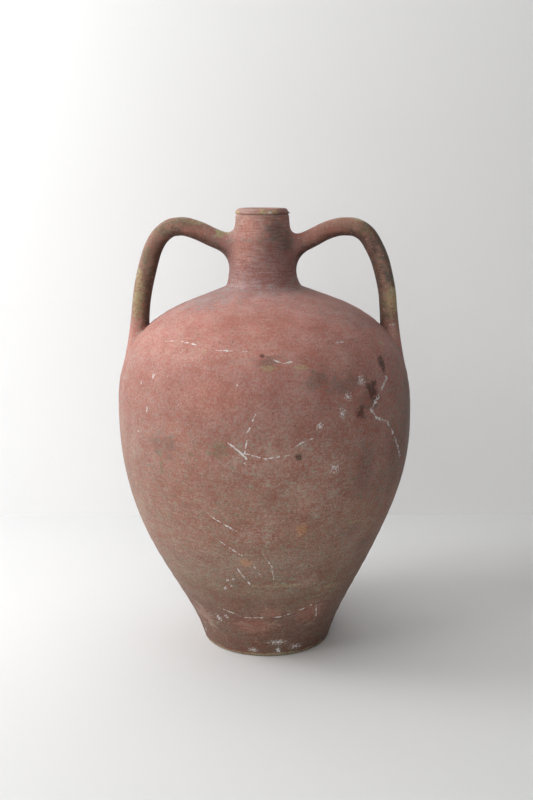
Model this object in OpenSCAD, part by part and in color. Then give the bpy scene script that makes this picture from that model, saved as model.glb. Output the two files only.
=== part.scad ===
// Two-handled earthenware water jar: thrown sections luted one on another,
// a collar neck with a rim coil, and two pulled loop handles.
// Millimetres, +Z up, origin on the ground under the middle of the belly.

/* [Body] */
// Height from the ground to the top of the rim
total_h = 460; // [450:1:475]
// Diameter at the widest part of the belly
belly_d = 307; // [297:1:317]
// Height of the widest part of the belly
belly_z = 247; // [240:1:254]
// Diameter of the foot on the ground
foot_d = 135; // [124:1:146]
// Thickness of the slab under the jar
floor_t = 13; // [13:0.5:20]
// Wall thickness just above the slab
wall_low = 11; // [9:0.5:12]
// Wall thickness at the top of the shoulder
wall_high = 7.5; // [6:0.5:8.5]

/* [Neck] */
// Height at which the neck stands on the shoulder
neck_z = 380; // [376:1:384]
// Outer diameter of the neck just under the rim
neck_d = 55; // [51:1:60]
// Diameter of the straight part of the mouth
mouth_d = 39; // [34:0.5:42]
// Height at which the straight part of the mouth begins
mouth_z = 440; // [432:1:444]
// Height of the rim coil
rim_h = 6; // [5:0.5:9]
// Sideways lean of the neck over the belly
neck_shift = -2.5; // [-4:0.5:4]

/* [Handles] */
// Distance from the belly's axis to the middle of a handle's upright
handle_x = 130; // [127:0.5:133]
// Height of the middle of a handle where it is highest
handle_z = 440.5; // [437:0.5:444]
// Thickness of a handle, seen from the front
handle_t = 18.5; // [16:0.5:21]
// Width of a handle, seen from the side
handle_w = 22; // [18:0.5:26]

/* [Hidden] */

clay_dark = [0.50, 0.33, 0.28];
clay_mid = [0.58, 0.37, 0.32];
clay_light = [0.66, 0.42, 0.37];

$fn = 96;

// The body's outline is two curves, foot to belly and belly to dome,
// and a straight slope from the dome up to the neck.
foot_r = foot_d / 2;
belly_r = belly_d / 2;
dome_end = [75, neck_z - 13.5];
neck_seat_r = 40;
low_curve = [
    [foot_r, 0],
    [foot_r + 14.5, 64],
    [belly_r, belly_z - 119],
    [belly_r, belly_z]
];
high_curve = [
    [belly_r, belly_z],
    [belly_r, belly_z + 36],
    [belly_r, belly_z + 91],
    dome_end
];

// Places on the outline run from 0 at the foot, past 1 at the belly, to 2 at the dome's end.
disc_joint = 0.045;
low_joint = 0.745;
high_joint = 1.64;
wall_steps = 18;
foot_chamfer = 2;
seat_hole_r = 30;            // hole in the top of the shoulder, under the neck
floor_cove = 14;             // reach of the slope between wall and floor

// Neck outline: [radius beyond the neck's own, height over the shoulder].
neck_outline = [
    [10.5, 0], [8.5, 6], [7, 14], [5, 28], [2.8, 44], [1, 58], [0.2, 66]
];
throat_low = 9.5;            // radius beyond the mouth's, at the shoulder
throat_mid = 4.5;            // and half way up
neck_r = neck_d / 2;
mouth_r = mouth_d / 2;
rim_z = total_h - rim_h;

// Section of the rim coil: [share of the lip's width, share of its height].
lip_outline = [
    [0, 0], [1, 0], [1.08, 0.15], [1.08, 0.5], [0.98, 0.8], [0.78, 0.97],
    [0.52, 1], [0.3, 0.93], [0.12, 0.72], [0.03, 0.4]
];

// Handles: centre line in the plane of the jar, out of the neck, over, and down.
handle_top_x = 91.5;
handle_rise = [[28, 419], [79, 447], [78, handle_z], [handle_top_x, handle_z]];
handle_fall = [
    [handle_top_x, handle_z],
    [handle_top_x + 18.5, handle_z],
    [handle_x, 396],
    [handle_x, 331]
];
handle_start = -0.08;        // inside the neck
handle_finish = 2.17;        // inside the shoulder
handle_rings = 42;
handle_sides = 24;

// Welds: clay smeared from the ends of a handle onto the wall.
weld_rings = 8;
weld_sink = 0.4;             // depth of a smear's edges under the surfaces they meet
weld_bow = 0.6;              // how far a smear follows the handle before it turns away
neck_weld_start = 0.26;      // place on the handle, 0 to 1 rising, 1 to 2 falling
neck_weld_z = 417;
neck_weld_rise = 21;
neck_weld_turn = 44;         // degrees round the neck, each way
foot_weld_start = 1.86;
foot_weld_place = 1.58;      // place on the body's outline
foot_weld_rise = 0.158;
foot_weld_turn = 9;          // degrees round the body, each way

function bezier(c, t) =
    pow(1 - t, 3) * c[0] + 3 * pow(1 - t, 2) * t * c[1]
    + 3 * (1 - t) * t * t * c[2] + t * t * t * c[3];
function bezier_dir(c, t) =
    let (d = pow(1 - t, 2) * (c[1] - c[0]) + 2 * (1 - t) * t * (c[2] - c[1])
        + t * t * (c[3] - c[2]))
    d / norm(d);
function steps(from, to, n) = [for (i = [0:n]) from + (to - from) * i / n];

// Body wall: a point of the outline, [radius, height], sunk square to the surface.
function wall_curve(u) = u < 1 ? low_curve : high_curve;
function wall_share(u) = u < 1 ? u : u - 1;
function wall_thickness(u) = wall_low + (wall_high - wall_low) * u / 2;
function wall_point(u, depth = 0) =
    let (d = bezier_dir(wall_curve(u), wall_share(u)))
    bezier(wall_curve(u), wall_share(u)) + depth * [-d[1], d[0]];
function outer_wall(from, to) =
    [for (u = steps(from, to, wall_steps)) wall_point(u)];
function inner_wall(from, to) =
    [for (u = steps(from, to, wall_steps)) wall_point(u, wall_thickness(u))];

function neck_outer() =
    [for (p = neck_outline) [neck_r + p[0], neck_z + p[1]]];
function neck_radius(z) =
    lookup(z, [for (p = neck_outer()) [p[1], p[0]]]);

// Handle centre line and its direction; both ends run on straight.
function handle_point(u) =
    u < 0 ? handle_rise[0] + 3 * u * (handle_rise[1] - handle_rise[0])
    : u < 1 ? bezier(handle_rise, u)
    : u < 2 ? bezier(handle_fall, u - 1)
    : handle_fall[3] + 3 * (u - 2) * (handle_fall[3] - handle_fall[2]);
function handle_dir(u) =
    u < 1 ? bezier_dir(handle_rise, max(u, 0))
    : bezier_dir(handle_fall, min(u, 2) - 1);

// Oval ring round the handle; angle 0 is its outer side.
function handle_ring(u, sink = 0) =
    let (c = handle_point(u), d = handle_dir(u),
        half_t = handle_t / 2 - sink, half_w = handle_w / 2 - sink)
    [for (a = steps(0, 360, handle_sides)) if (a < 360)
        [c[0] - half_t * cos(a) * d[1], half_w * sin(a), c[1] + half_t * cos(a) * d[0]]];

// Edge of a smear on the neck and on the body, just under their surfaces.
function neck_edge(shift) =
    [for (a = steps(0, 360, handle_sides)) if (a < 360)
        let (z = neck_weld_z + neck_weld_rise * cos(a),
            turn = neck_weld_turn * sin(a),
            r = neck_radius(z) - weld_sink)
        [shift + r * cos(turn), r * sin(turn), z]];
function body_edge() =
    [for (a = steps(0, 360, handle_sides)) if (a < 360)
        let (p = wall_point(foot_weld_place - foot_weld_rise * cos(a), weld_sink),
            turn = foot_weld_turn * sin(a))
        [p[0] * cos(turn), p[0] * sin(turn), p[1]]];

// Rings from one ring to another that leave the first along a direction.
function smear(first, last, dir) =
    [for (t = steps(0, 1, weld_rings))
        [for (i = [0:len(first) - 1])
            let (reach = weld_bow * norm(last[i] - first[i]),
                turned = first[i] + reach * [dir[0], 0, dir[1]])
            pow(1 - t, 2) * first[i] + 2 * (1 - t) * t * turned + t * t * last[i]]];

// Closed skin over a row of rings, with a fan over each end.
module skin(rings) {
    n = len(rings[0]);
    m = len(rings);
    ends = [for (ring = [rings[0], rings[m - 1]])
        [for (k = [0:2]) [for (p = ring) p[k]] * [for (p = ring) 1] / n]];
    points = concat([for (ring = rings) each ring], ends);
    sides = [for (j = [0:m - 2], i = [0:n - 1], half = [0, 1])
        let (a = j * n + i, b = j * n + (i + 1) % n)
        half == 0 ? [a, b, b + n] : [a, b + n, a + n]];
    start = [for (i = [0:n - 1]) [(i + 1) % n, i, m * n]];
    finish = [for (i = [0:n - 1]) [(m - 1) * n + i, (m - 1) * n + (i + 1) % n, m * n + 1]];
    polyhedron(points, concat(sides, start, finish));
}

// Everything inside the neck's and the body's outer surface.
module neck_mass() {
    translate([neck_shift, 0, 0])
        rotate_extrude()
            polygon(concat(
                [[0, neck_z]], neck_outer(), [[neck_r, rim_z], [0, rim_z]]
            ));
}

module body_mass() {
    rotate_extrude()
        polygon(concat([[0, belly_z]], outer_wall(1, 2), [[0, dome_end[1]]]));
}

module handle_shape() {
    skin([for (u = steps(handle_start, handle_finish, handle_rings)) handle_ring(u)]);
}

// Slab that the jar stands on, with a cove up to the wall.
module base_disc() {
    inner = wall_point(disc_joint, wall_thickness(disc_joint));
    color(clay_dark)
        rotate_extrude()
            polygon([
                [0, 0],
                [foot_r - foot_chamfer, 0],
                wall_point(disc_joint / 4),
                wall_point(disc_joint),
                inner,
                [inner[0] - floor_cove, floor_t],
                [0, floor_t]
            ]);
}

// Ring of wall between two places on the outline.
module wall_ring(from, to) {
    rotate_extrude()
        polygon(concat(outer_wall(from, to), inner_wall(to, from)));
}

module lower_wall() {
    color(clay_dark) wall_ring(disc_joint, low_joint);
}

module belly_wall() {
    color(clay_mid) wall_ring(low_joint, high_joint);
}

// Dome over the belly, with a flat seat for the neck.
module shoulder() {
    color(clay_light)
        rotate_extrude()
            polygon(concat(
                outer_wall(high_joint, 2),
                [[neck_seat_r, neck_z], [seat_hole_r, neck_z], [seat_hole_r + 1, neck_z - 6]],
                inner_wall(2, high_joint)
            ));
}

// Collar with a flared root, a throat that narrows upwards and a straight mouth.
module neck() {
    color(clay_mid)
        translate([neck_shift, 0, 0])
            rotate_extrude()
                polygon(concat(
                    neck_outer(),
                    [
                        [neck_r, rim_z],
                        [mouth_r, rim_z],
                        [mouth_r, mouth_z],
                        [mouth_r + throat_mid, (mouth_z + neck_z) / 2],
                        [mouth_r + throat_low, neck_z]
                    ]
                ));
}

// Coil that finishes the mouth.
module rim() {
    lip_w = neck_r - mouth_r;
    color(clay_dark)
        translate([neck_shift, 0, rim_z])
            rotate_extrude()
                polygon([for (p = lip_outline) [mouth_r + p[0] * lip_w, p[1] * rim_h]]);
}

// The right handle and its welds; the left ones are their mirror images
// about the body's axis, cut to the same leaning neck.
module handle(side) {
    color(clay_mid)
        difference() {
            mirror([side < 0 ? 1 : 0, 0, 0]) handle_shape();
            neck_mass();
            body_mass();
        }
}

module neck_weld(side) {
    start = handle_ring(neck_weld_start, weld_sink);
    rings = smear(start, neck_edge(side * neck_shift), -handle_dir(neck_weld_start));
    color(clay_light)
        difference() {
            mirror([side < 0 ? 1 : 0, 0, 0])
                difference() {
                    skin([for (i = [weld_rings:-1:0]) rings[i]]);
                    handle_shape();
                }
            neck_mass();
        }
}

module foot_weld(side) {
    start = handle_ring(foot_weld_start, weld_sink);
    rings = smear(start, body_edge(), handle_dir(foot_weld_start));
    color(clay_light)
        difference() {
            mirror([side < 0 ? 1 : 0, 0, 0])
                difference() {
                    skin(rings);
                    handle_shape();
                }
            body_mass();
        }
}

module left_handle() {
    handle(-1);
}

module right_handle() {
    handle(1);
}

module left_neck_weld() {
    neck_weld(-1);
}

module right_neck_weld() {
    neck_weld(1);
}

module left_foot_weld() {
    foot_weld(-1);
}

module right_foot_weld() {
    foot_weld(1);
}

base_disc();
lower_wall();
belly_wall();
shoulder();
neck();
rim();
left_handle();
right_handle();
left_neck_weld();
right_neck_weld();
left_foot_weld();
right_foot_weld();
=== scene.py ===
"""Earthenware amphora: hand-made clay pieces, a fired-clay material and a plain studio."""

import math

import bpy
import numpy as np
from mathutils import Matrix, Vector


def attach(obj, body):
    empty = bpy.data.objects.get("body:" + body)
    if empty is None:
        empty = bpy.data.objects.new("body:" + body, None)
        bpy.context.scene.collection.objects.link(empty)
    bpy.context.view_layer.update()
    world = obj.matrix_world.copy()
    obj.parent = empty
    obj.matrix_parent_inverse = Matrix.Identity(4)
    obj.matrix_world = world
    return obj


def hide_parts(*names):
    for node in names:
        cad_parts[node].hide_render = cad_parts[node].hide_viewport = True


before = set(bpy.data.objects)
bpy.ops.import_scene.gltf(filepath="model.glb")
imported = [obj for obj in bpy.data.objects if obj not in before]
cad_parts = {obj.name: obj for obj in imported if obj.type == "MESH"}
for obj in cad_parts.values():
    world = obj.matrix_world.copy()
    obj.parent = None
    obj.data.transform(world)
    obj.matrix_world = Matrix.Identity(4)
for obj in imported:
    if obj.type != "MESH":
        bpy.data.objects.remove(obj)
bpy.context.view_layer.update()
MM = 0.001
TAU = 2 * math.pi


# ---------------------------------------------------------------- lines (millimetres)
def bezier(points, n):
    """n points of a cubic curve."""
    p = np.array(points, float)
    t = np.linspace(0, 1, n)[:, None]
    s = 1 - t
    return s**3 * p[0] + 3 * s * s * t * p[1] + 3 * s * t * t * p[2] + t**3 * p[3]


def even(line, n):
    """The same line as n evenly spaced points."""
    line = np.asarray(line, float)
    along = lengths(line)
    want = np.linspace(0, along[-1], n)
    return np.stack([np.interp(want, along, column) for column in line.T], 1)


def lengths(line):
    """Distance along a line to each of its points."""
    step = np.linalg.norm(np.diff(line, axis=0), axis=1)
    return np.concatenate([[0], np.cumsum(step)])


def rounded(points, n):
    """n evenly spaced points on a smooth line through the given ones."""
    p = np.array(points, float)
    p = np.vstack([2 * p[0] - p[1], p, 2 * p[-1] - p[-2]])
    t = np.linspace(0, 1, 40, endpoint=False)[:, None]
    runs = []
    for a, b, c, d in zip(p[:-3], p[1:-2], p[2:-1], p[3:]):
        bend = (2 * a - 5 * b + 4 * c - d) * t * t + (3 * b - a - 3 * c + d) * t**3
        runs.append(0.5 * (2 * b + (c - a) * t + bend))
    return even(np.vstack(runs + [p[-2:-1]]), n)


def normals(line):
    """Unit normals to the right of a line's direction: outwards on a wall drawn upwards."""
    d = np.gradient(line, axis=0)
    d /= np.linalg.norm(d, axis=1)[:, None]
    return np.stack([d[:, 1], -d[:, 0]], 1)


def unit(v):
    """The vectors of an array at length 1."""
    return v / np.linalg.norm(v, axis=-1, keepdims=True)


# ---------------------------------------------------------------- the jar's outline
# The widest ring is 0.6 mm inside the CAD part, so that the relief stays inside the CAD box.
BELLY_R = 152.9
BELLY_Z = 247
FOOT_R = 67.5
SEAT_Z = 380
RIM_Z = 454
MOUTH_R = 19.5
WALL_LOW = 11
WALL_HIGH = 7.5
SHOULDER_CURVE_END = [75, 366.5]

LOW_CURVE = [[FOOT_R, 0], [FOOT_R + 14.5, 64], [BELLY_R, BELLY_Z - 119], [BELLY_R, BELLY_Z]]
HIGH_CURVE = [
    [BELLY_R, BELLY_Z],
    [BELLY_R, BELLY_Z + 36],
    [BELLY_R, BELLY_Z + 91],
    SHOULDER_CURVE_END,
]
BODY_LINE = even(
    np.vstack([bezier(LOW_CURVE, 400), bezier(HIGH_CURVE, 400)[1:], [[38, SEAT_Z + 0.6]]]), 1400
)
BODY_S = lengths(BODY_LINE)
NECK_LINE = rounded(
    [
        [41.5, 379.3], [38.9, 381.0], [37.2, 384.0], [35.6, 389], [34.5, 396], [33.2, 406],
        [31.7, 418], [30.0, 430], [28.5, 440], [27.7, 447], [27.5, 451], [26.9, 453], [26.3, 454],
    ],
    400,
)
NECK_S = lengths(NECK_LINE)

# The axis by height, as [sideways shift, height]: raised by hand, the jar isn't quite true.
LEAN = rounded(
    [
        [2.0, -5], [1.8, 22], [0.8, 52], [-0.7, 86], [-1.6, 122], [-0.9, 155], [0, 190],
        [0.1, 225], [-0.3, 255], [-0.6, 290], [-0.3, 335], [0.2, 365], [-0.8, 378],
        [-1.8, 388], [-2.4, 400], [-2.5, 430], [-2.5, 465],
    ],
    600,
)


def lean(z):
    """Sideways shift of the axis at a height."""
    return np.interp(z, LEAN[:, 1], LEAN[:, 0])


def throwing_marks(s, turn, strength=1.0):
    """Relief of the potter's fingers: shallow spirals and slow lumps, in millimetres.

    s is the distance along the outline, and turn the angle round the jar.
    """
    wander = 0.6 * np.sin(turn + 1.1) + 0.3 * np.sin(2 * turn + 0.4 + s / 60)
    rings = 0.13 * np.sin(TAU * s / 17.0 + turn + wander)
    rings = rings + 0.08 * np.sin(TAU * s / 9.3 - turn + 2.1 * wander)
    rings = rings * (0.6 + 0.4 * np.sin(s / 43.0 + 0.5 * np.sin(turn)))
    lumps = 0.35 * np.sin(2 * turn + 1.3 + s / 90) * np.sin(s / 57 + 0.5)
    lumps = lumps + 0.2 * np.sin(3 * turn + 0.4 - s / 70) * np.sin(s / 31 + 1.1)
    return strength * (rings + lumps)


def body_relief(s, turn):
    """Relief on the body. It dies away at the widest ring, which sets the jar's width."""
    z = np.interp(s, BODY_S, BODY_LINE[:, 1])
    calm = 1 - 0.85 * np.exp(-(((z - BELLY_Z) / 28) ** 2))
    return calm * throwing_marks(s, turn)


def neck_relief(s, turn):
    """Relief on the neck, rising from nothing where it meets the shoulder."""
    fade = np.clip((s - 4) / 10, 0, 1)
    return fade * throwing_marks(1.7 * s + 40, turn, 0.5)


# Chips and worn places round the lip: (degrees from +X, half width in degrees, depth in mm).
CHIPS = [
    (0, 34, 1.3), (-97, 9, 0.9), (-80, 7, 1.2), (-69, 5, 0.6), (-128, 12, 0.4),
    (75, 14, 0.9), (140, 10, 0.7), (205, 16, 0.5), (170, 6, 0.8),
]


def lip_relief(s, turn):
    """Relief of the lip: uneven by hand, and chipped along its upper edge."""
    s = s - NECK_S[-1]
    shape = 0.18 * np.sin(3 * turn + 0.7) + 0.12 * np.sin(5 * turn + s / 3)
    chips = 0.0
    for at, wide, deep in CHIPS:
        off = np.degrees(np.angle(np.exp(1j * (turn - math.radians(at)))))
        chips = chips + deep * np.exp(-((off / wide) ** 2))
    edge = np.exp(-(((s - 5.0) / 2.2) ** 2))
    inside = np.clip((11 - s) / 3, 0, 1)
    return np.clip(s / 1.5, 0, 1) * inside * (shape - 0.2) - chips * edge


# ---------------------------------------------------------------- meshes
def make_piece(name, points, faces, node, material, grime_and_shade=None):
    """A clay piece from points in millimetres, riding on the jar in place of its CAD node.

    grime is how much dirt and painted shade each point has, from 0 to 1, for the material to read.
    """
    mesh = bpy.data.meshes.new(name)
    mesh.from_pydata((np.asarray(points) * MM).tolist(), [], faces)
    mesh.update()
    if grime_and_shade is not None:
        mesh.attributes.new("grime_and_shade", "FLOAT", "POINT").data.foreach_set("value", grime_and_shade)
    mesh.polygons.foreach_set("use_smooth", [True] * len(mesh.polygons))
    mesh.set_sharp_from_angle(angle=math.radians(50))
    piece = bpy.data.objects.new(name, mesh)
    bpy.context.scene.collection.objects.link(piece)
    mesh.materials.append(material)
    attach(piece, "root")
    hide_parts(node)
    return piece


def grid_faces(rows, columns, loop):
    """Quads over a grid that closes round its columns, and round its rows if loop is set."""
    faces = []
    for j in range(rows if loop else rows - 1):
        a, b = j * columns, (j + 1) % rows * columns
        for i in range(columns):
            k = (i + 1) % columns
            faces.append((a + i, a + k, b + k, b + i))
    return faces


def turned(parts, columns):
    """Points of a turned shape. parts are (line, relief of distance and turn, or None)."""
    turn = np.linspace(0, TAU, columns, endpoint=False)[None, :]
    rows = []
    for line, relief in parts:
        line = np.asarray(line, float)
        r, z = line[:, :1], line[:, 1:]
        if relief is not None:
            s, square = relief_lines(line)
            bump = relief(s[:, None], turn)
            r = r + bump * square[:, :1]
            z = z + bump * square[:, 1:]
        z = z + 0 * turn
        rows.append(np.stack([lean(z) + r * np.cos(turn), r * np.sin(turn) + 0 * z, z], -1))
    return np.concatenate(rows)


def relief_lines(line):
    """Distance along the outline that a line is part of, and its normals."""
    whole = BODY_LINE if line[0, 1] < SEAT_Z - 2 else NECK_LINE
    start = np.argmin(np.linalg.norm(whole - line[0], axis=1))
    return lengths(whole)[start] + lengths(line), normals(line)


def ring_piece(name, parts, columns, node, material):
    """A closed ring of clay whose section is the loop of lines in parts."""
    grid = turned(parts, columns)
    faces = grid_faces(len(grid), columns, True)
    return make_piece(name, grid.reshape(-1, 3), faces, node, material)


def body_span(low, high):
    """Part of the body's outline between two heights, as points about 2 mm apart."""
    first, last = np.searchsorted(BODY_LINE[:, 1], (low, high))
    line = BODY_LINE[first : last + 1]
    return even(line, max(3, int(lengths(line)[-1] / 2.0)))


def inside_of(line, steps):
    """The wall's inner side behind a line, drawn back towards its start."""
    thick = WALL_LOW + (WALL_HIGH - WALL_LOW) * line[:, 1:] / SEAT_Z
    return even((line - thick * normals(line))[::-1], steps)


# ---------------------------------------------------------------- handles (millimetres)
LEFT_PATH = [
    [-14, 411], [-26, 417], [-38, 423], [-54, 430], [-67, 436.3], [-80, 440.8], [-89, 441.2],
    [-98, 439], [-107.5, 431], [-115, 418], [-121, 400], [-125.5, 382], [-128, 366], [-129.3, 350],
    [-130, 335], [-130, 315], [-130, 285],
]
RIGHT_PATH = [
    [12, 409], [24, 416], [36, 423], [50, 430], [62, 436], [74, 440], [84, 441], [94, 440],
    [104, 434], [111, 424], [118, 409], [123, 392], [127, 375], [128.7, 360], [129.7, 345],
    [130, 330], [130, 312], [130, 285],
]
TUBE_STEPS = 420
TUBE_SIDES = 72
# The section's size in the plane of the handles, and front to back.
THICK = 18.6
WIDE = 21.5


def flatter(share):
    """A cosine pushed outwards, so that a round section gets flatter sides."""
    return np.sign(share) * np.abs(share) ** 0.86


class Tube:
    """A pulled handle: an oval section drawn along a path in the jar's plane."""

    def __init__(self, path, side):
        self.path = rounded(path, TUBE_STEPS)
        self.s = lengths(self.path)
        along = unit(np.gradient(self.path, axis=0))
        self.out = np.stack([-along[:, 1], along[:, 0]], 1) * side
        self.side = side
        self.angles = np.linspace(0, TAU, TUBE_SIDES, endpoint=False)

    def points(self, s, angle, sink=0.0):
        """Points of the skin at distances s and angles round it. Angle 0 is the outer side."""
        s, angle = np.broadcast_arrays(s, angle)
        centre = self.at(self.path, s)
        out = unit(self.at(self.out, s))
        # the unevenness that the pulling hand leaves
        hand = 0.35 * np.sin(s / 23 + self.side + 2 * angle) * np.sin(s / 41 + 0.8)
        hand = hand + 0.22 * np.sin(s / 11.5 + angle + 2 * self.side)
        hand = hand + 0.3 * np.cos(3 * angle + s / 60)
        half_t = THICK / 2 + hand - sink
        half_w = WIDE / 2 + hand - sink
        shift = out * (half_t * flatter(np.cos(angle)))[..., None]
        y = half_w * flatter(np.sin(angle)) + 0.8 * np.sin(s / 70 + self.side)
        xz = centre + shift
        return np.stack([xz[..., 0], y, xz[..., 1]], -1)

    def at(self, table, s):
        """Rows of a table of the path's points, read off at distances s."""
        return np.stack([np.interp(s, self.s, column) for column in table.T], -1)

    def crossings(self, wall, from_end):
        """Distance along each side of the handle to where it enters a wall."""
        s = self.s[::-1] if from_end else self.s
        half = s[: int(0.45 * len(s))]
        found = []
        for angle in self.angles:
            depth = wall.above(self.points(half, angle))
            outside = np.argmax(depth > 0)
            a, b = depth[outside - 1], depth[outside]
            found.append(np.interp(0, [a, b], [half[outside - 1], half[outside]]))
        return np.array(found)


class Wall:
    """The outer surface of the body or the neck, for finding the points of it."""

    def __init__(self, line, relief):
        self.line = line
        self.s = lengths(line)
        self.normal = normals(line)
        self.relief = relief

    def nearest(self, p):
        """Height above the surface, and the surface's outward normal, at each point."""
        x = p[:, 0] - lean(p[:, 2])
        r = np.hypot(x, p[:, 1])
        turn = np.arctan2(p[:, 1], x)
        flat = np.stack([r, p[:, 2]], 1)
        near = np.argmin(((flat[:, None] - self.line[None]) ** 2).sum(2), axis=1)
        n = self.normal[near]
        high = ((flat - self.line[near]) * n).sum(1) - self.relief(self.s[near], turn)
        n3 = np.stack([n[:, 0] * np.cos(turn), n[:, 0] * np.sin(turn), n[:, 1]], 1)
        return high, n3

    def above(self, p):
        """Height above the surface at each point."""
        return self.nearest(p)[0]

    def drop(self, p, sink=0.0):
        """The points moved onto the surface, or a little under it."""
        for _ in range(4):
            high, n = self.nearest(p)
            p = p - (high + sink)[:, None] * n
        return p

    def slide(self, p, way, far):
        """The points slid along the surface, and their last direction."""
        p = self.drop(p)
        step = far / 6
        for _ in range(6):
            n = self.nearest(p)[1]
            along = unit(way - (way * n).sum(1)[:, None] * n)
            p = self.drop(p + step[:, None] * along)
        n = self.nearest(p)[1]
        return p, unit(way - (way * n).sum(1)[:, None] * n)


BODY_WALL = Wall(BODY_LINE, body_relief)
NECK_WALL = Wall(NECK_LINE, neck_relief)
FILLET_STEPS = 26
# How far the ends of a handle go into the walls, and the edges of a smear under the surfaces.
BURIED = 2.2
UNDER = 0.9
# How much of a smear's curve runs along each of its two surfaces.
FULLNESS = 0.62


def handle_piece(tube, near, far, name, node, material):
    """The handle between its two walls, both ends hidden in them."""
    share = np.linspace(0, 1, 260)[:, None]
    s = (near - BURIED) * (1 - share) + (far + BURIED) * share
    grid = tube.points(s, tube.angles[None, :])
    # grime: dirt and painted shade, darkest on the side facing the jar
    inner = (1 - np.cos(tube.angles)) / 2
    grime_and_shade = np.tile(inner, (len(grid), 1))
    if tube.side > 0:
        grid = grid[:, ::-1]
        grime_and_shade = grime_and_shade[:, ::-1]
    grime_and_shade = np.concatenate([grime_and_shade.ravel(), [0, 0]])
    sides, rows = TUBE_SIDES, len(grid)
    faces = grid_faces(rows, sides, False)
    points = np.vstack([grid.reshape(-1, 3), grid[0].mean(0), grid[-1].mean(0)])
    a, b = rows * sides, rows * sides + 1
    last = (rows - 1) * sides
    faces += [((i + 1) % sides, i, a) for i in range(sides)]
    faces += [(last + i, last + (i + 1) % sides, b) for i in range(sides)]
    return make_piece(name, points, faces, node, material, grime_and_shade)


def weld_piece(tube, wall, cross, climb, spread, at_end, name, node, material):
    """Luting clay smeared from the handle onto a wall: a ring with a hollow curved face.

    cross is where the handle enters the wall, climb how far the smear starts up the handle
    and spread how far it runs out over the wall, all in millimetres for each side.
    """
    toward = 1 if at_end else -1
    angle = tube.angles
    corner = tube.points(cross, angle)
    start_s = cross - toward * climb
    start = tube.points(start_s, angle, -0.03)
    ahead = unit(tube.points(start_s + toward * 1.0, angle) - tube.points(start_s, angle))
    middle = tube.points(cross, angle, 6.0)
    way = unit(corner - middle)
    finish, away = wall.slide(corner, way, spread)
    reach = np.linalg.norm(corner - start, axis=1)[:, None]
    run = np.linalg.norm(finish - corner, axis=1)[:, None]
    first, second = start + FULLNESS * reach * ahead, finish - FULLNESS * run * away
    t = np.linspace(0, 1, FILLET_STEPS)[:, None, None]
    skin = (
        (1 - t) ** 3 * start
        + 3 * (1 - t) ** 2 * t * first
        + 3 * (1 - t) * t * t * second
        + t**3 * finish
    )
    under_start = tube.points(start_s, angle, UNDER)[None]
    under_finish = wall.drop(finish, UNDER)[None]
    under_corner = wall.drop(tube.points(cross, angle, UNDER), UNDER)[None]
    grid = np.concatenate([under_start, skin, under_finish, under_corner])
    # grime: dirt and painted shade, darkest on the side facing the jar near the handle, and at the
    # feet a painted shadow along the crease with the body
    inner = (1 - np.cos(angle)) / 2
    crease_shadow = np.exp(-(((t[..., 0] - 0.45) / 0.35) ** 2)) * np.clip(3 * inner - 1.2, 0, 0.8)
    grime_and_shade = np.maximum(inner * (1 - t[..., 0] ** 2), crease_shadow if at_end else 0)
    grime_and_shade = np.vstack([grime_and_shade[:1], grime_and_shade, grime_and_shade[-1:], grime_and_shade[-1:]])
    if (tube.side > 0) == at_end:
        grid = grid[:, ::-1]
        grime_and_shade = grime_and_shade[:, ::-1]
    faces = grid_faces(len(grid), TUBE_SIDES, True)
    points = grid.reshape(-1, 3)
    return make_piece(name, points, faces, node, material, grime_and_shade.ravel())


# The slab, lower wall, belly wall and dome lie between these heights.
JOINTS = [0.0, 9.0, 166.0, 327.5, SEAT_Z + 1.0]
# Points round the body and the rim, and round the neck.
COLUMNS = 256
NECK_COLUMNS = 192


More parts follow.
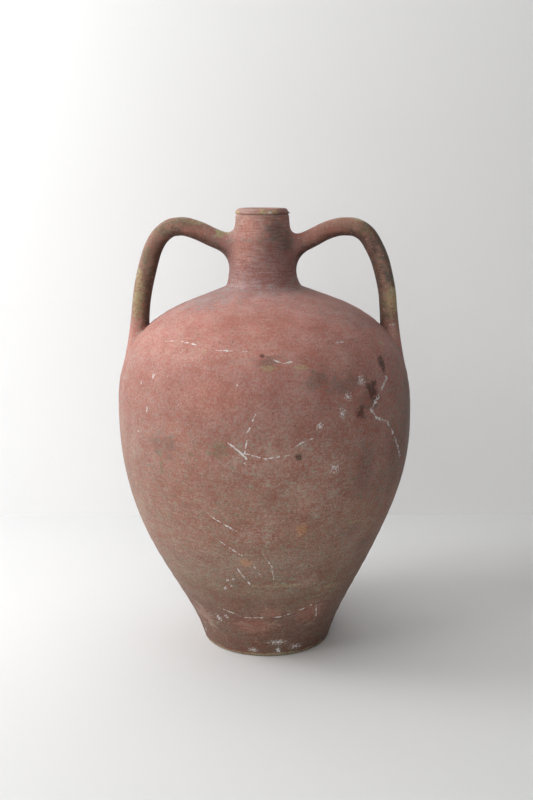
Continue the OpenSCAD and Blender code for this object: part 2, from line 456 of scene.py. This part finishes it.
def build(materials):
    """Every piece of the jar. materials has one for each part of it."""
    slab, low, belly, dome = (body_span(a, b) for a, b in zip(JOINTS[:-1], JOINTS[1:]))

    # slab: a shallow hollow underneath, a rounded foot edge, and a cove inside
    foot = [
        [0.5, 0.9], [25, 0.9], [48, 0.9], [52, 0.5], [55, 0], [63, 0], [65.4, 0.15], [66.9, 0.8],
    ]
    edge = np.vstack([rounded(foot, 60), [[67.7, 2.0]], slab[slab[:, 1] > 3.2]])
    edge[:, 1] = np.maximum(edge[:, 1], 0)
    inner = inside_of(slab, 3)[0]
    cove = rounded([inner, inner - [7, 0.5], [inner[0] - 16, 13], [25, 13], [0.5, 13]], 30)
    parts = [(edge, None), (cove, None)]
    ring_piece("slab_clay", parts, COLUMNS, "base_disc", materials["foot"])

    # the two walls of the body
    for name, line, node, key, slot in (
        ("lower_wall_clay", low, "lower_wall", "low", "body_clay"),
        ("belly_wall_clay", belly, "belly_wall", "belly", "body_clay"),
    ):
        parts = [(line, body_relief), (inside_of(line, len(line) // 3), None)]
        ring_piece(name, parts, COLUMNS, node, materials[key])

    # the dome, with a seat for the neck
    seat = rounded([[38, 380.6], [31, 380.4], [30, 377], [31.5, 373]], 12)
    under = np.vstack([seat, inside_of(dome, len(dome) // 3)[2:]])
    parts = [(dome, body_relief), (under, None)]
    ring_piece("shoulder_clay", parts, COLUMNS, "shoulder", materials["dome"])

    # the neck with its throat, and the lip
    throat = [
        [MOUTH_R, RIM_Z], [MOUTH_R, 447], [MOUTH_R, 440], [21.5, 425], [24.2, 408], [27, 393],
        [29, 380.6],
    ]
    parts = [(NECK_LINE, neck_relief), (rounded(throat, 60), None)]
    ring_piece("neck_clay", parts, NECK_COLUMNS, "neck", materials["neck"])
    lip = [
        [26.3, RIM_Z], [27.5, 454.1], [28.2, 454.8], [28.3, 456], [27.6, 457.4], [26.0, 458.7],
        [24.0, 459.6], [22.0, 459.8], [20.6, 459.2], [19.8, 457.8], [MOUTH_R, 456],
        [MOUTH_R, RIM_Z],
    ]
    parts = [(rounded(lip, 120), lip_relief)]
    ring_piece("rim_clay", parts, COLUMNS, "rim", materials["rim"])

    # the handles, and the clay smeared round both ends of each
    for side, word, path in ((-1, "left", LEFT_PATH), (1, "right", RIGHT_PATH)):
        tube = Tube(path, side)
        near = tube.crossings(NECK_WALL, False)
        far = tube.crossings(BODY_WALL, True)
        handle_piece(
            tube, near, far, word + "_handle_clay", word + "_handle", materials["handle"],
        )
        outer = (1 + np.cos(tube.angles)) / 2
        sides = np.abs(np.sin(tube.angles))
        weld_piece(
            tube, NECK_WALL, near, 14 + 3 * (1 - outer) + 2 * sides, 12.5 + 4 * (1 - outer) - sides,
            False, word + "_neck_weld_clay", word + "_neck_weld", materials["weld"],
        )
        weld_piece(
            tube, BODY_WALL, far, 2.2 + 44 * outer**2.8, 1.5 + 23 * outer**2.8, True,
            word + "_foot_weld_clay", word + "_foot_weld", materials["weld"],
        )


# ---------------------------------------------------------------- marks on the clay
# Colours are linear. Places on the body are (degrees round from the front, height in mm).
# Colour of the clay by height, on the body and neck and then on the handles.
TONES = [
    (0, (0.174, 0.088, 0.064)),
    (25, (0.183, 0.092, 0.066)),
    (52, (0.203, 0.108, 0.080)),
    (90, (0.25, 0.147, 0.106)),
    (112, (0.28, 0.160, 0.120)),
    (145, (0.31, 0.172, 0.128)),
    (190, (0.315, 0.167, 0.127)),
    (240, (0.335, 0.170, 0.135)),
    (280, (0.35, 0.170, 0.140)),
    (312, (0.385, 0.178, 0.148)),
    (330, (0.45, 0.208, 0.170)),
    (350, (0.46, 0.208, 0.174)),
    (374, (0.455, 0.222, 0.190)),
    (380, (0.37, 0.205, 0.188)),
    (385, (0.33, 0.182, 0.170)),
    (394, (0.29, 0.150, 0.136)),
    (422, (0.275, 0.145, 0.126)),
    (432, (0.36, 0.195, 0.170)),
    (452, (0.37, 0.210, 0.175)),
    (460, (0.40, 0.225, 0.190)),
]
HANDLE_TONES = [
    (280, (0.35, 0.170, 0.140)),
    (312, (0.385, 0.178, 0.148)),
    (330, (0.425, 0.197, 0.161)),
    (340, (0.41, 0.202, 0.165)),
    (352, (0.31, 0.180, 0.135)),
    (400, (0.27, 0.150, 0.112)),
    (425, (0.28, 0.155, 0.118)),
    (436, (0.31, 0.165, 0.125)),
    (452, (0.32, 0.185, 0.138)),
]
RED_TINT = (1.02, 0.81, 0.75, 1)
BLOOM_TINT = (0.98, 1.19, 1.25, 1)
GREEN_TINT = (0.76, 1.10, 1.02, 1)
CHALK = (0.64, 0.61, 0.59, 1)
OCHRE = (0.40, 0.29, 0.16, 1)
PALE = (0.41, 0.24, 0.195, 1)
TAN = (0.38, 0.265, 0.155, 1)
RED = (0.43, 0.172, 0.128, 1)
RUST = (0.46, 0.19, 0.09, 1)
BROWN = (0.225, 0.122, 0.098, 1)
GREY_BROWN = (0.25, 0.165, 0.138, 1)
STAIN = (0.10, 0.048, 0.038, 1)
SOOT = (0.115, 0.084, 0.070, 1)
SMOKE_AND_SHADE = (0.165, 0.105, 0.092, 1)
SOIL = (0.22, 0.145, 0.092, 1)
# GRIME_AND_SHADE: dark dirt, also used as painted shade on the handles' sheltered sides and creases
# and as a painted contact shadow under the foot
GRIME_AND_SHADE = (0.082, 0.044, 0.032, 1)
BLOOM = (0.34, 0.212, 0.195, 1)

# Scratches, each a list of places. SCUFF crosses the shoulder, CRACK is on the right of the
# belly, STAR in its middle, SCRATCHES low on the belly, and SMILE above the foot.
SCUFF = [
    [(-49, 334), (-43, 336)],
    [(-39, 336), (-30, 334)],
    [(-20, 331), (-12, 331), (-6, 331)],
    [(3, 325), (7, 321), (11, 322)],
    [(33, 336), (37, 336)],
]
CRACK = [[(54, 299), (42, 273), (45, 264), (51, 258), (56, 243), (60, 228), (64, 216)]]
STAR = [
    [(-3, 276), (-4, 270)],
    [(-5, 263), (-6, 259)],
    [(-6, 251), (-7, 239)],
    [(-13, 249), (-9, 241), (-6, 233)],
    [(-7, 239), (-4, 237), (0, 234), (5, 236), (9, 237)],
    [(10, 244), (13, 248), (17, 252)],
]
SCRATCHES = [
    [(-21, 173), (-11, 159)],
    [(-18, 146), (-9, 131)],
    [(-5, 122), (-1, 106)],
    [(0, 134), (4, 118), (5, 102)],
    [(-12, 115), (-7, 96)],
]
SMILE = [
    [(-28, 58), (-21, 54), (-15, 50), (-6, 51), (10, 52), (21, 58), (35, 66)],
    [(34, 61), (38, 45)],
]
# Strength of the fine lines round the body.
BODY_WHEEL = 0.6


def on_surface(line, turn, z):
    """The point of an outline's turned surface at a turn in degrees and a height."""
    r = np.interp(z, line[:, 1], line[:, 0])
    turn = math.radians(turn)
    return np.array([lean(z) + r * math.sin(turn), -r * math.cos(turn), z])


def on_body(turn, z):
    return on_surface(BODY_LINE, turn, z)


def on_neck(turn, z):
    return on_surface(NECK_LINE, turn, z)


# ---------------------------------------------------------------- material
class Clay:
    """The nodes of one clay material. Places in it are in millimetres on the jar."""

    def __init__(self, name):
        self.material = bpy.data.materials.new(name)
        self.material.use_nodes = True
        self.tree = self.material.node_tree
        self.shader = self.tree.nodes["Principled BSDF"]
        place = self.tree.nodes.new("ShaderNodeTexCoord").outputs["Object"]
        self.place = self.vector("MULTIPLY", place, (1 / MM, 1 / MM, 1 / MM))
        split = self.tree.nodes.new("ShaderNodeSeparateXYZ")
        self.feed(split.inputs[0], self.place)
        self.height = split.outputs["Z"]
        self.across = split.outputs["X"]

    def feed(self, socket, value):
        """Links a socket to another one, or sets its value."""
        if isinstance(value, bpy.types.NodeSocket):
            self.tree.links.new(value, socket)
        else:
            socket.default_value = value

    def math(self, operation, *values, clamp=False):
        """Output of a Math node."""
        node = self.tree.nodes.new("ShaderNodeMath")
        node.operation = operation
        node.use_clamp = clamp
        for socket, value in zip(node.inputs, values):
            self.feed(socket, value)
        return node.outputs[0]

    def swing(self, noise, weight, base):
        """base moved up and down by a noise, which has its middle at 0.5."""
        return self.math("MULTIPLY_ADD", self.math("SUBTRACT", noise, 0.5), weight, base)

    def vector(self, operation, *values):
        """Output of a Vector Math node."""
        node = self.tree.nodes.new("ShaderNodeVectorMath")
        node.operation = operation
        for socket, value in zip(node.inputs, values):
            self.feed(socket, value)
        return node.outputs["Value" if operation in ("DOT_PRODUCT", "LENGTH") else "Vector"]

    def noise(self, size, detail=2.0, rough=0.5, stretch=(1, 1, 1), shift=0.0):
        """Noise about 0 to 1 whose grains are size millimetres, longer where stretch is big."""
        scale = [1 / (size * s) for s in stretch]
        node = self.tree.nodes.new("ShaderNodeTexNoise")
        node.inputs["Scale"].default_value = 1.0
        node.inputs["Detail"].default_value = detail
        node.inputs["Roughness"].default_value = rough
        place = self.vector("MULTIPLY_ADD", self.place, scale, (shift, shift, shift))
        self.feed(node.inputs["Vector"], place)
        return node.outputs["Fac"]

    def span(self, value, low, high, start=0.0, end=1.0):
        """value eased from the span low-high to start-end, and held beyond it."""
        node = self.tree.nodes.new("ShaderNodeMapRange")
        node.interpolation_type = "SMOOTHSTEP"
        for socket, number in zip(node.inputs, (value, low, high, start, end)):
            self.feed(socket, number)
        return node.outputs[0]

    def mix(self, amount, a, b, blend="MIX"):
        """Colour a with colour b over it."""
        node = self.tree.nodes.new("ShaderNodeMix")
        node.data_type = "RGBA"
        node.blend_type = blend
        self.feed(node.inputs["Factor"], amount)
        self.feed(node.inputs[6], a)
        self.feed(node.inputs[7], b)
        return node.outputs[2]

    def ramp(self, value, stops):
        """Colours by a value in millimetres, as (value, colour) stops."""
        first, last = stops[0][0], stops[-1][0]
        node = self.tree.nodes.new("ShaderNodeValToRGB")
        band = node.color_ramp
        while len(band.elements) < len(stops):
            band.elements.new(0.5)
        for element, (at, color) in zip(band.elements, stops):
            element.position = (at - first) / (last - first)
            element.color = (*color, 1)
        share = self.math("SUBTRACT", value, float(first))
        self.feed(node.inputs[0], self.math("DIVIDE", share, float(last - first)))
        return node.outputs["Color"]

    def spots(self, marks):
        """How deep a place is in the nearest of some spots: 1 in its middle, 0 at its edge."""
        inside = -1.0
        for at, width, height in marks:
            squeeze = (1 / width, 1 / width, 1 / height)
            near = self.vector("MULTIPLY_ADD", self.place, squeeze, -np.array(at) * squeeze)
            depth = self.math("SUBTRACT", 1.0, self.vector("LENGTH", near))
            inside = self.math("MAXIMUM", inside, depth)
        return inside

    def strokes(self, lines):
        """Distance in millimetres to the nearest of some lines scratched into the body."""
        nearest = 1000.0
        for line in lines:
            points = [on_body(turn, z) for turn, z in line]
            for a, b in zip(points[:-1], points[1:]):
                run = b - a
                start = self.vector("SUBTRACT", self.place, a)
                share = self.vector("DOT_PRODUCT", start, run / (run @ run))
                share = self.math("ADD", share, 0.0, clamp=True)
                gap = self.vector("MULTIPLY_ADD", share, -run, start)
                nearest = self.math("MINIMUM", nearest, self.vector("LENGTH", gap))
        return nearest


def fired_clay(name, fine=(), broad=(), dots=(), patches=(), wheel=1.0, shade_and_dirt=0.0):
    """Weathered red earthenware: mottled clay, patches of other colours, and chalky scratches.

    fine and broad are scratched lines, dots are spots of chalk, patches are (colour, how far
    it covers, spots), and wheel is the strength of the fine lines round the jar. dirt is how
    far dark grime and painted shade cover the sheltered sides and creases of the handles, whose
    colours differ from the body's.
    """
    clay = Clay(name)

    # mottling, from clouds as wide as a hand down to the grain of the clay
    cloud = clay.noise(75, 2, 0.5, (1.2, 1.2, 0.8))
    patch = clay.noise(22, 3, 0.6, shift=31)
    blotch = clay.noise(6.5, 3, 0.6, (1.3, 1.3, 0.8), shift=17)
    speck = clay.noise(2.4, 3, 0.7, shift=5)
    wiped = clay.noise(1.5, 2, 0.6, (9, 9, 0.8), shift=11)
    brushed = clay.noise(1.5, 2, 0.6, (0.8, 0.8, 7), shift=23)
    mottle = clay.span(speck, 0.40, 0.60, 0.30, 0.70)
    for value, weight in (
        (cloud, 0.8), (patch, 1.1), (blotch, 1.0), (speck, 1.0), (wiped, wheel), (brushed, 0.9)
    ):
        mottle = clay.swing(value, weight, mottle)
    mottle = clay.math("ADD", mottle, 0.0, clamp=True)

    # base colour by height, its bands pushed up and down by the clouds
    level = clay.swing(cloud, 26.0, clay.height)
    color = clay.ramp(level, TONES)
    if shade_and_dirt:
        beyond = clay.span(clay.math("ABSOLUTE", clay.across), 38.0, 70.0)
        color = clay.mix(beyond, color, clay.ramp(level, HANDLE_TONES))

    # larger patches with ragged edges, and dark grime with painted shade on the sheltered sides and
    # in the creases
    ragged = clay.swing(speck, 1.5, -0.05)
    ragged = clay.swing(blotch, 2.2, ragged)
    for paint, cover, marks in patches:
        depth = clay.math("ADD", clay.spots(marks), ragged)
        color = clay.mix(clay.span(depth, -0.05, 0.6, 0.0, cover), color, paint)
    if shade_and_dirt:
        # the grime attribute carries dirt and painted shade: the sides facing the jar and the
        # creases at the handles' feet
        grime_and_shade_node = clay.tree.nodes.new("ShaderNodeAttribute")
        grime_and_shade_node.attribute_name = "grime_and_shade"
        depth = clay.math("MULTIPLY_ADD", ragged, 0.4, grime_and_shade_node.outputs["Fac"])
        color = clay.mix(clay.span(depth, 0.32, 0.94, 0.0, shade_and_dirt), color, GRIME_AND_SHADE)

    # the mottling over it all, a grain that gets coarser down the jar, and grey-green specks
    color = clay.mix(1.0, color, clay.mix(mottle, RED_TINT, BLOOM_TINT), "MULTIPLY")
    shade = clay.math("MULTIPLY_ADD", speck, 0.7, patch)
    color = clay.mix(1.0, color, clay.span(shade, 0.6, 1.1, 0.88, 1.10), "MULTIPLY")
    coarse = clay.span(clay.height, 345.0, 120.0, 0.5, 1.2)
    grain = clay.math("SUBTRACT", clay.noise(1.3, 2, 0.7, shift=3), 0.5)
    grain = clay.swing(wiped, 0.6 * wheel, grain)
    grain = clay.swing(speck, 0.12, grain)
    grain = clay.swing(blotch, 0.2, grain)
    grain = clay.math("MULTIPLY_ADD", grain, coarse, 1.0)
    color = clay.mix(1.0, color, grain, "MULTIPLY")
    green = clay.noise(1.9, 2, 0.6, shift=61)
    green = clay.span(clay.math("MULTIPLY_ADD", blotch, 0.5, green), 0.76, 0.94)
    greener = clay.mix(1.0, color, GREEN_TINT, "MULTIPLY")
    color = clay.mix(clay.math("MULTIPLY", green, coarse, clamp=True), color, greener)

    # ochre grit and dark iron specks
    grit = clay.noise(2.6, 2, 0.5, (1.5, 1.5, 0.7), shift=41)
    grit = clay.span(clay.math("MULTIPLY_ADD", patch, 0.35, grit), 0.84, 0.96, 0.0, 0.6)
    color = clay.mix(grit, color, OCHRE)
    iron = clay.noise(3.1, 1, 0.5, shift=53)
    iron = clay.span(clay.math("MULTIPLY_ADD", cloud, 0.3, iron), 0.84, 0.94, 0.0, 0.5)
    color = clay.mix(iron, color, STAIN)

    # chalky scratches and dots, broken along their length
    crumbs = clay.noise(1.2, 2, 0.6, shift=71)
    dashes = clay.noise(4.5, 1, 0.5, shift=83)
    chalked = clay.span(clay.math("MULTIPLY_ADD", patch, 0.4, crumbs), 0.975, 1.01, 0.0, 0.8)
    for lines, width in ((fine, 0.36), (broad, 1.0)):
        if lines:
            gap = clay.math("DIVIDE", clay.strokes(lines), width)
            gap = clay.swing(crumbs, -8.0, gap)
            gap = clay.swing(dashes, -8.0, gap)
            chalked = clay.math("MAXIMUM", chalked, clay.span(gap, 0.4, 1.2, 1.0, 0.0))
    if dots:
        depth = clay.swing(crumbs, 7.0, clay.spots(dots))
        chalked = clay.math("MAXIMUM", chalked, clay.span(depth, 0.3, 0.8))
    clay.feed(clay.shader.inputs["Base Color"], clay.mix(chalked, color, CHALK))

    # a dry matt surface with a bloom of dust, smoother where its mottling is darker
    clay.feed(clay.shader.inputs["Roughness"], clay.span(shade, 0.6, 1.2, 0.74, 0.95))
    clay.shader.inputs["Specular IOR Level"].default_value = 0.3
    clay.shader.inputs["Sheen Weight"].default_value = 0.05
    clay.shader.inputs["Sheen Roughness"].default_value = 0.5

    # bump in millimetres: wheel lines, brushed grain, specks and lumps
    relief = 0.0
    for value, high in ((wiped, 0.10 * wheel), (brushed, 0.06), (speck, 0.20), (blotch, 0.25)):
        relief = clay.math("MULTIPLY_ADD", value, high, relief)
    bump = clay.tree.nodes.new("ShaderNodeBump")
    bump.inputs["Strength"].default_value = 0.9
    bump.inputs["Distance"].default_value = MM
    clay.feed(bump.inputs["Height"], relief)
    clay.feed(clay.shader.inputs["Normal"], bump.outputs["Normal"])
    return clay.material


def spots_on(place, *marks):
    """Spots from (turn, height, half width, half height) on the body or the neck."""
    return [(place(turn, z), wide, high) for turn, z, wide, high in marks]


def clay_materials():
    """The material of each part of the jar."""
    foot_dots = spots_on(
        on_body, (-18, 99, 2, 2), (-15, 101, 1.5, 1.5), (-21, 88, 2, 2.5), (-17, 92, 1.5, 1.5),
        (-35, 43, 3, 5), (-28, 48, 2, 3), (-65, 15, 2, 2), (9, 18, 8, 3), (25, 10, 6, 3),
        (10, 8, 3, 4), (-12, 8, 4, 2),
    )
    belly_dots = spots_on(
        on_body, (-47, 303, 1.5, 4), (-54, 294, 1.5, 1.5), (-48, 270, 1, 3), (-54, 248, 1, 3),
        (-10, 302, 1, 1), (-7, 229, 1.2, 1.2), (39, 301, 4, 5), (32, 288, 4, 3), (29, 273, 3, 4),
        (20, 263, 3, 3), (26, 221, 4, 4),
    )
    # the last two are the worn pale edge of the foot and a painted contact shadow along its lowest
    # millimetre
    foot_patches = [
        (RED, 0.35, spots_on(on_body, (15, 30, 25, 18), (-15, 20, 20, 10))),
        (PALE, 0.5, spots_on(on_body, (-52, 32, 18, 22))),
        (TAN, 0.75, [((0, 0, 2.0), 400, 2.6)]),
        (GRIME_AND_SHADE, 0.9, [((0, 0, -0.4), 400, 1.6)]),
    ]
    low_patches = [
        (RED, 0.4, spots_on(on_body, (31, 53, 22, 20), (3, 57, 16, 10), (-8, 40, 30, 14))),
        (PALE, 0.5, spots_on(on_body, (-52, 40, 18, 22), (-4, 155, 22, 16), (22, 97, 20, 12))),
        (BROWN, 0.55, spots_on(on_body, (38, 150, 20, 14), (-46, 114, 5, 5), (55, 124, 20, 18))),
        (RUST, 0.6, spots_on(on_body, (-8, 123, 8, 6), (15, 160, 8, 12))),
        (TAN, 0.5, spots_on(on_body, (38, 83, 14, 4), (40, 159, 18, 2.2), (6, 94, 30, 3))),
    ]
    side_patches = [
        # the grey-brown veil over the right of the body, the side away from the lamps: partly the
        # clay's own grey-brown, partly painted shade
        (GREY_BROWN, 0.75, spots_on(on_body, (78, 245, 72, 90))),
        (GREY_BROWN, 0.25, spots_on(on_body, (60, 357, 42, 22))),
        (BLOOM, 0.75, spots_on(on_body, (-66, 371, 52, 15), (60, 380, 50, 9))),
    ]
    belly_patches = [
        side_patches[0],
        (PALE, 0.45, spots_on(
            on_body, (4, 232, 50, 26), (-70, 305, 20, 32), (2, 172, 14, 12), (20, 208, 34, 42),
        )),
        (RED, 0.45, spots_on(on_body, (-18, 290, 45, 22), (15, 182, 9, 16))),
        (BROWN, 0.7, spots_on(
            on_body, (33, 299, 30, 13), (20, 305, 16, 12), (42, 283, 20, 14), (40, 216, 18, 34),
            (38, 154, 16, 12), (-40, 238, 22, 16), (2, 322, 16, 8), (60, 210, 32, 56),
        )),
        (SOIL, 0.7, spots_on(on_body, (-41, 220, 3, 20), (-16, 240, 12, 10), (-27, 235, 4, 4))),
        (OCHRE, 0.6, spots_on(on_body, (2, 317, 11, 3), (15, 317, 9, 2.5), (-25, 329, 3, 3))),
        (STAIN, 0.9, spots_on(
            on_body, (54, 313, 7, 11), (44, 290, 10, 13), (37, 271, 8, 8), (12, 235, 4, 4),
            (-1, 327, 3.5, 3.5),
        )),
    ]
    dome_patches = [
        (RED, 0.35, spots_on(on_body, (-10, 352, 60, 22))),
        *side_patches,
        (STAIN, 0.8, spots_on(on_body, (-1, 327, 3.5, 3.5))),
        (OCHRE, 0.55, spots_on(on_body, (63, 329, 5, 3), (-25, 329, 3, 3))),
    ]
    rim_patches = [
        (BROWN, 0.8, spots_on(on_neck, (50, 456, 22, 8), (10, 454, 14, 4))),
        (OCHRE, 0.8, spots_on(
            on_neck, (4, 456, 9, 4), (-70, 455, 10, 3), (28, 457, 5, 3), (150, 456, 16, 4),
            (-130, 456, 9, 3),
        )),
        (CHALK, 0.6, spots_on(on_neck, (13, 455, 5, 2))),
    ]
    upper_patches = [
        *side_patches,
        (RED, 0.45, [
            *spots_on(on_neck, (-30, 442, 18, 16), (-38, 424, 20, 30)),
            ((48, -6, 432), 26, 10), ((72, -6, 436), 18, 8), ((-75, -6, 436), 26, 8),
        ]),
        (GREY_BROWN, 0.6, [((-2.5, 0, 428), 60, 2.4)]),
        # dark spots on the neck's right beside the right handle: partly smoke stain, partly painted
        # shade from the handle
        (SMOKE_AND_SHADE, 0.75, spots_on(on_neck, (28, 438, 14, 16), (50, 426, 13, 14))),
        (SOOT, 0.9, [
            ((109, -6, 441), 15, 13), ((118, -6, 429), 15, 15), ((126, -6, 411), 14, 18),
            ((131, -6, 393), 14, 18), ((134, -6, 381), 11, 12),
        ]),
        (SOIL, 0.8, [
            ((102, -9, 437), 13, 7), ((-104, -9, 438), 14, 7), ((-84, -8, 446), 18, 5),
            ((-120, -10, 412), 7, 12),
        ]),
        (TAN, 1.0, [
            ((-130, -11, 366), 9, 26), ((-129, -11, 388), 6, 14), ((-66, -2, 448), 16, 5),
            ((-46, -2, 434), 13, 5), ((96, -5, 449), 9, 4), ((132, -10, 367), 17, 18),
        ]),
    ]
    weld_dots = [((132, -9, 341), 2.5, 3), ((-128, -9, 333), 2, 2)]
    dirty_and_shaded = {"dots": weld_dots, "patches": upper_patches, "shade_and_dirt": 0.9}
    return {
        "foot": fired_clay("foot_clay", dots=foot_dots, patches=foot_patches, wheel=BODY_WHEEL),
        "low": fired_clay(
            "lower_clay", SMILE + SCRATCHES, (), foot_dots, low_patches, BODY_WHEEL
        ),
        "belly": fired_clay(
            "belly_clay", SCUFF + STAR + SCRATCHES[:1], CRACK, belly_dots, belly_patches,
            BODY_WHEEL,
        ),
        "dome": fired_clay("shoulder_clay", SCUFF, patches=dome_patches, wheel=BODY_WHEEL),
        "neck": fired_clay("neck_clay", patches=upper_patches, wheel=2.2),
        "rim": fired_clay("rim_clay", patches=rim_patches),
        "handle": fired_clay("handle_clay", wheel=0.25, **dirty_and_shaded),
        "weld": fired_clay("luting_clay", wheel=0.6, **dirty_and_shaded),
    }


build(clay_materials())

# ---------------------------------------------------------------- studio
scene = bpy.context.scene
CAMERA_FAR = 1.1529
CAMERA_HIGH = 0.4873
CAMERA_X = 0.0018
CAMERA_DOWN = 11.171


def add_camera():
    """The camera at the photo's angle."""
    data = bpy.data.cameras.new("camera")
    data.lens = 50
    data.sensor_width = 36
    data.sensor_fit = "AUTO"
    data.clip_start = 0.05
    camera = bpy.data.objects.new("camera", data)
    camera.location = (CAMERA_X, -CAMERA_FAR, CAMERA_HIGH)
    camera.rotation_euler = (math.radians(90 - CAMERA_DOWN), 0, 0)
    scene.collection.objects.link(camera)
    scene.camera = camera


def stage_sheet(name, corners, grey):
    """A flat sheet of the studio, from its corners in metres. Returns its material."""
    mesh = bpy.data.meshes.new(name)
    mesh.from_pydata(corners, [], [(0, 1, 2, 3)])
    sheet = bpy.data.objects.new(name, mesh)
    scene.collection.objects.link(sheet)
    paint = bpy.data.materials.new(name + "_paint")
    paint.use_nodes = True
    shader = paint.node_tree.nodes["Principled BSDF"]
    shader.inputs["Base Color"].default_value = (grey, grey, grey, 1)
    shader.inputs["Roughness"].default_value = 0.9
    mesh.materials.append(paint)
    return paint


def open_from_behind(material):
    """Leaves a sheet's back out, so that a view from behind it isn't blocked."""
    nodes, links = material.node_tree.nodes, material.node_tree.links
    side = nodes.new("ShaderNodeNewGeometry").outputs["Backfacing"]
    clear = nodes.new("ShaderNodeBsdfTransparent")
    mix = nodes.new("ShaderNodeMixShader")
    links.new(side, mix.inputs["Fac"])
    links.new(nodes["Principled BSDF"].outputs["BSDF"], mix.inputs[1])
    links.new(clear.outputs["BSDF"], mix.inputs[2])
    links.new(mix.outputs["Shader"], nodes["Material Output"].inputs["Surface"])


def area_light(name, place, aim, width, height, watts, color):
    """A soft light that isn't seen itself, so that it doesn't show in a view from behind."""
    data = bpy.data.lights.new(name, "AREA")
    data.shape = "RECTANGLE"
    data.size, data.size_y = width, height
    data.energy = watts
    data.color = color
    light = bpy.data.objects.new(name, data)
    light.location = place
    light.rotation_euler = (Vector(aim) - Vector(place)).to_track_quat("-Z", "Y").to_euler()
    light.visible_camera = False
    scene.collection.objects.link(light)


add_camera()
SIDE = 2.6
NEAR_Y = -2
FAR_Y = 4
WALL_Y = 0.433
WALL_TOP = 3
floor_corners = [(-SIDE, NEAR_Y, 0), (SIDE, NEAR_Y, 0), (SIDE, FAR_Y, 0), (-SIDE, FAR_Y, 0)]
wall_corners = [
    (-SIDE, WALL_Y, 0), (SIDE, WALL_Y, 0), (SIDE, WALL_Y, WALL_TOP), (-SIDE, WALL_Y, WALL_TOP),
]
stage_sheet("floor", floor_corners, 0.8)
open_from_behind(stage_sheet("backdrop", wall_corners, 0.86))
area_light("window", (-2.6, -1.6, 1.6), (0, 0, 0.25), 1.6, 1.6, 36, (0.99, 1.0, 1.0))
area_light("window_near", (-1.0, -0.1, 0.9), (0, 0, 0.3), 0.5, 0.8, 9, (0.98, 0.99, 1.0))
area_light("front", (-0.4, -2.6, 1.2), (0, 0, 0.25), 1.6, 1.6, 22, (1.0, 0.99, 0.97))
area_light("overhead", (0, -0.3, 2.3), (0, 0, 0.2), 1.8, 1.8, 11, (1.0, 0.995, 0.98))

# grey beyond the stage where the camera sees it, and no light from there
world = bpy.data.worlds.new("studio")
world.use_nodes = True
sky = world.node_tree.nodes["Background"]
sky.inputs["Color"].default_value = (0.7, 0.7, 0.7, 1)
seen = world.node_tree.nodes.new("ShaderNodeLightPath").outputs["Is Camera Ray"]
world.node_tree.links.new(seen, sky.inputs["Strength"])
scene.world = world
scene.view_settings.view_transform = "Standard"
